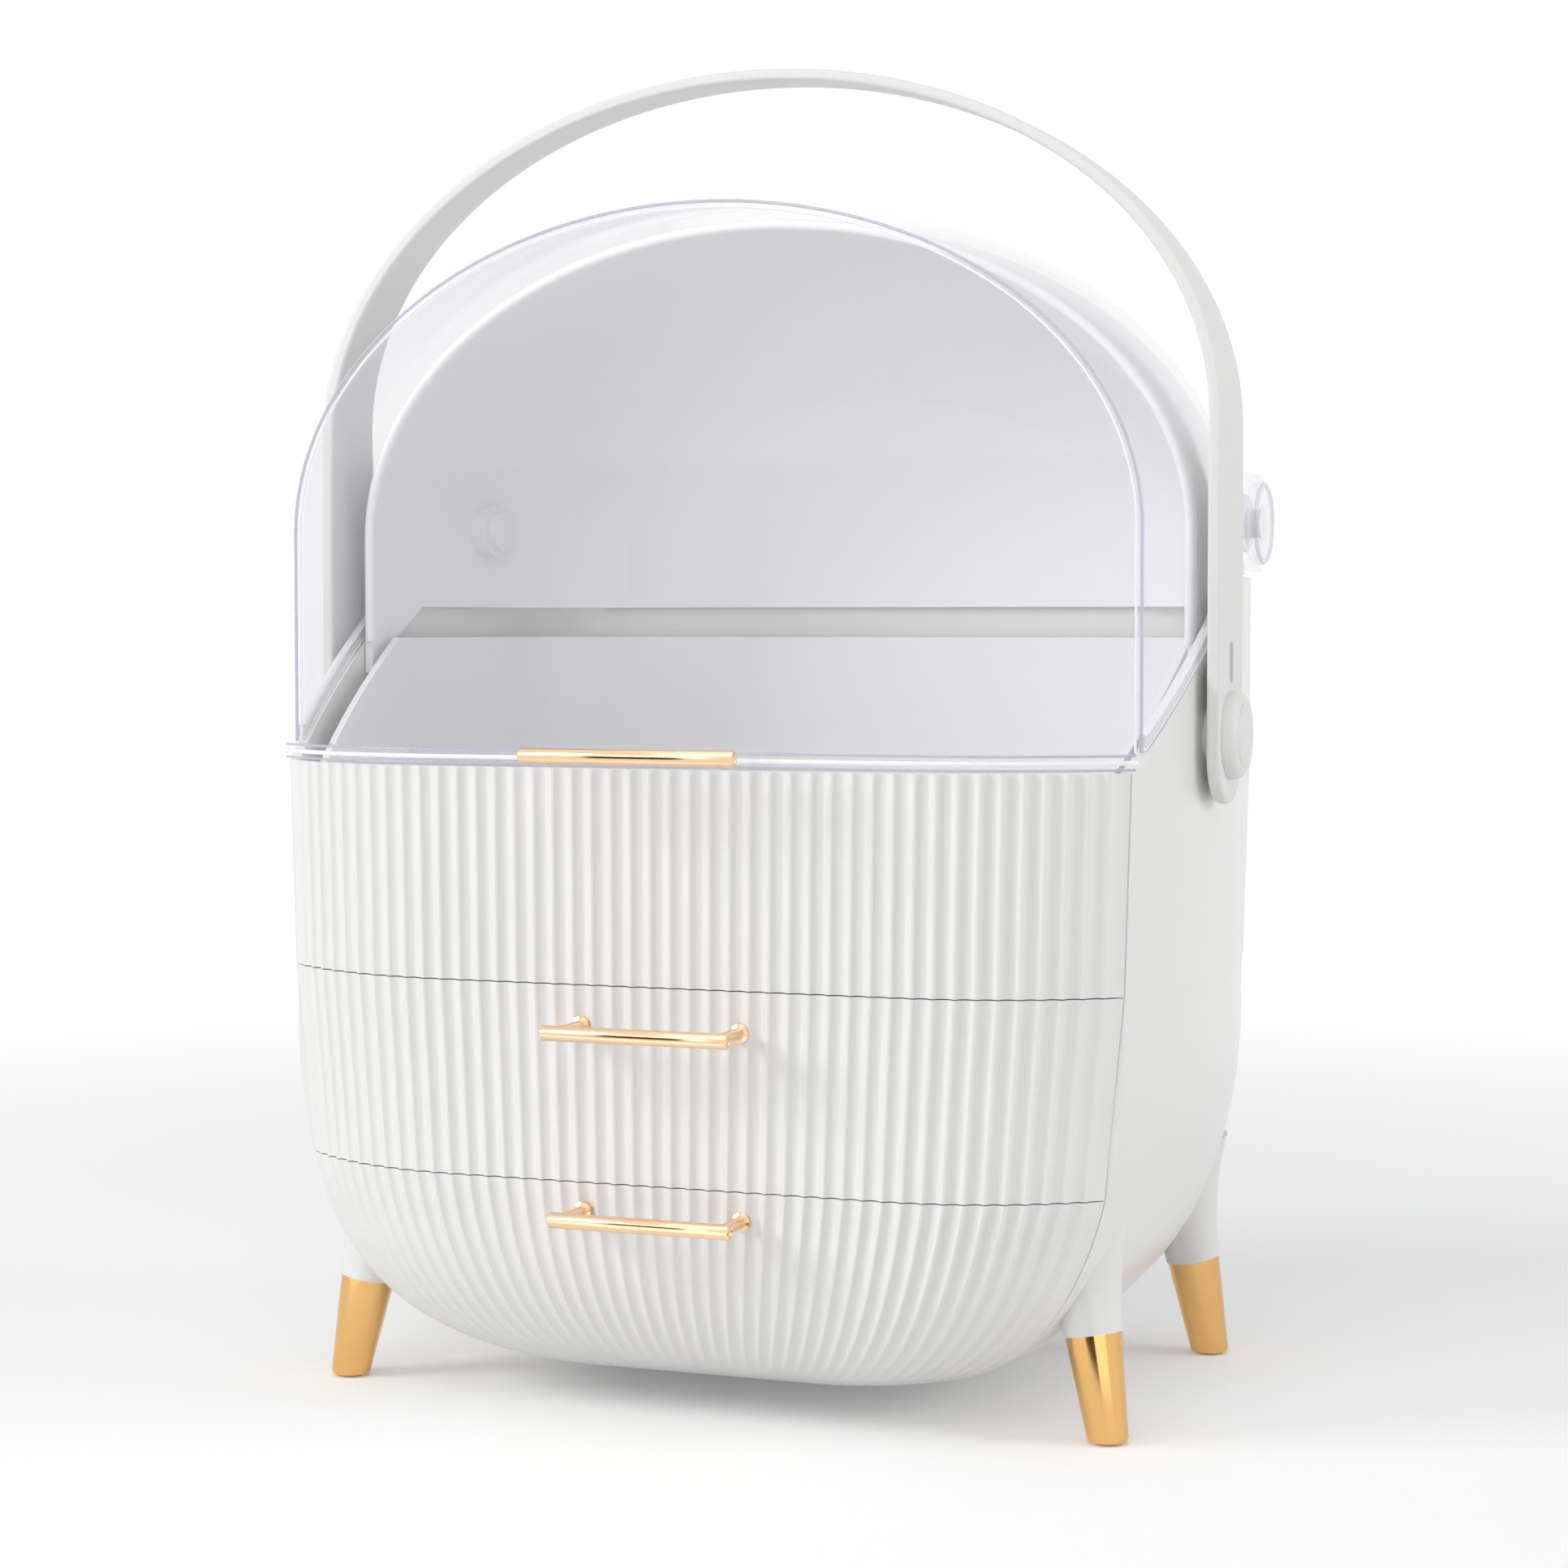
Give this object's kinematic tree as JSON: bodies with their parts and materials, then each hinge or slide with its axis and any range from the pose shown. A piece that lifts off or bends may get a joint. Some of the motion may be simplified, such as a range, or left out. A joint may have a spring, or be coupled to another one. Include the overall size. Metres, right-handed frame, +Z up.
{
  "type": "makeup organizer",
  "caption": "Egg-shaped ribbed cosmetics organizer on splayed feet, with drawers below, a deep tray under a clear flip-up lid, a fixed rear hood and an arched carry handle.",
  "frame": {"origin": "on the floor, under the middle of the overall width and depth with the lid and drawers shut", "axes": "+X to the organizer's right as seen from its front, +Y to its back, +Z up"},
  "size_m": [0.2702, 0.1951, 0.359],
  "materials": {
    "white_plastic": "gloss",
    "liner_plastic": "satin",
    "clear_plastic": "gloss",
    "gold": "polished plating",
    "rose_gold": "polished plating",
    "steel": "plain",
    "foot_rubber": "matte"
  },
  "bodies": {
    "case": {"case_shell": "white_plastic", "front_band": "white_plastic", "back_hood": "white_plastic", "tray_liner": "liner_plastic", "upper_shelf": "white_plastic", "middle_shelf": "white_plastic", "upper_ledges": "white_plastic", "middle_ledges": "white_plastic", "lower_runners": "white_plastic", "handle_pin_left": "white_plastic", "handle_pin_right": "white_plastic", "lid_pin_left": "white_plastic", "lid_pin_right": "white_plastic", "foot_tip_front_left": "gold", "foot_tip_front_right": "gold", "foot_tip_back_left": "gold", "foot_tip_back_right": "gold", "foot_pads": "foot_rubber", "foot_studs": "steel"},
    "carry_handle": {"handle_strap": "white_plastic", "handle_cap_left": "white_plastic", "handle_cap_right": "white_plastic"},
    "lid": {"lid_shell": "clear_plastic", "lid_front_panel": "clear_plastic", "lid_pull": "rose_gold", "lid_cap_left": "clear_plastic", "lid_cap_right": "clear_plastic"},
    "middle_drawer": {"middle_drawer_front": "white_plastic", "middle_drawer_bin": "liner_plastic", "middle_drawer_pull": "rose_gold", "middle_pull_screws": "steel"},
    "lower_drawer": {"lower_drawer_front": "white_plastic", "lower_drawer_bin": "liner_plastic", "lower_drawer_pull": "rose_gold", "lower_pull_screws": "steel"}
  },
  "joints": [
    {"name": "lid_hinge", "type": "hinge", "parent": "case", "child": "lid", "pos_m": [0, 0.0627, 0.237], "axis": [-1, 0, 0], "range_deg": [0, 95]},
    {"name": "handle_swing", "type": "hinge", "parent": "case", "child": "carry_handle", "pos_m": [0, 0.0007, 0.18], "axis": [-1, 0, 0], "range_deg": [0, 95]},
    {"name": "middle_drawer_slide", "type": "slide", "parent": "case", "child": "middle_drawer", "axis": [0, -1, 0], "range_m": [0, 0.11]},
    {"name": "lower_drawer_slide", "type": "slide", "parent": "case", "child": "lower_drawer", "axis": [0, -1, 0], "range_m": [0, 0.1]}
  ],
  "couplings": [
    {"joint": "handle_swing", "follows": "lid_hinge", "ratio": 1}
  ]
}
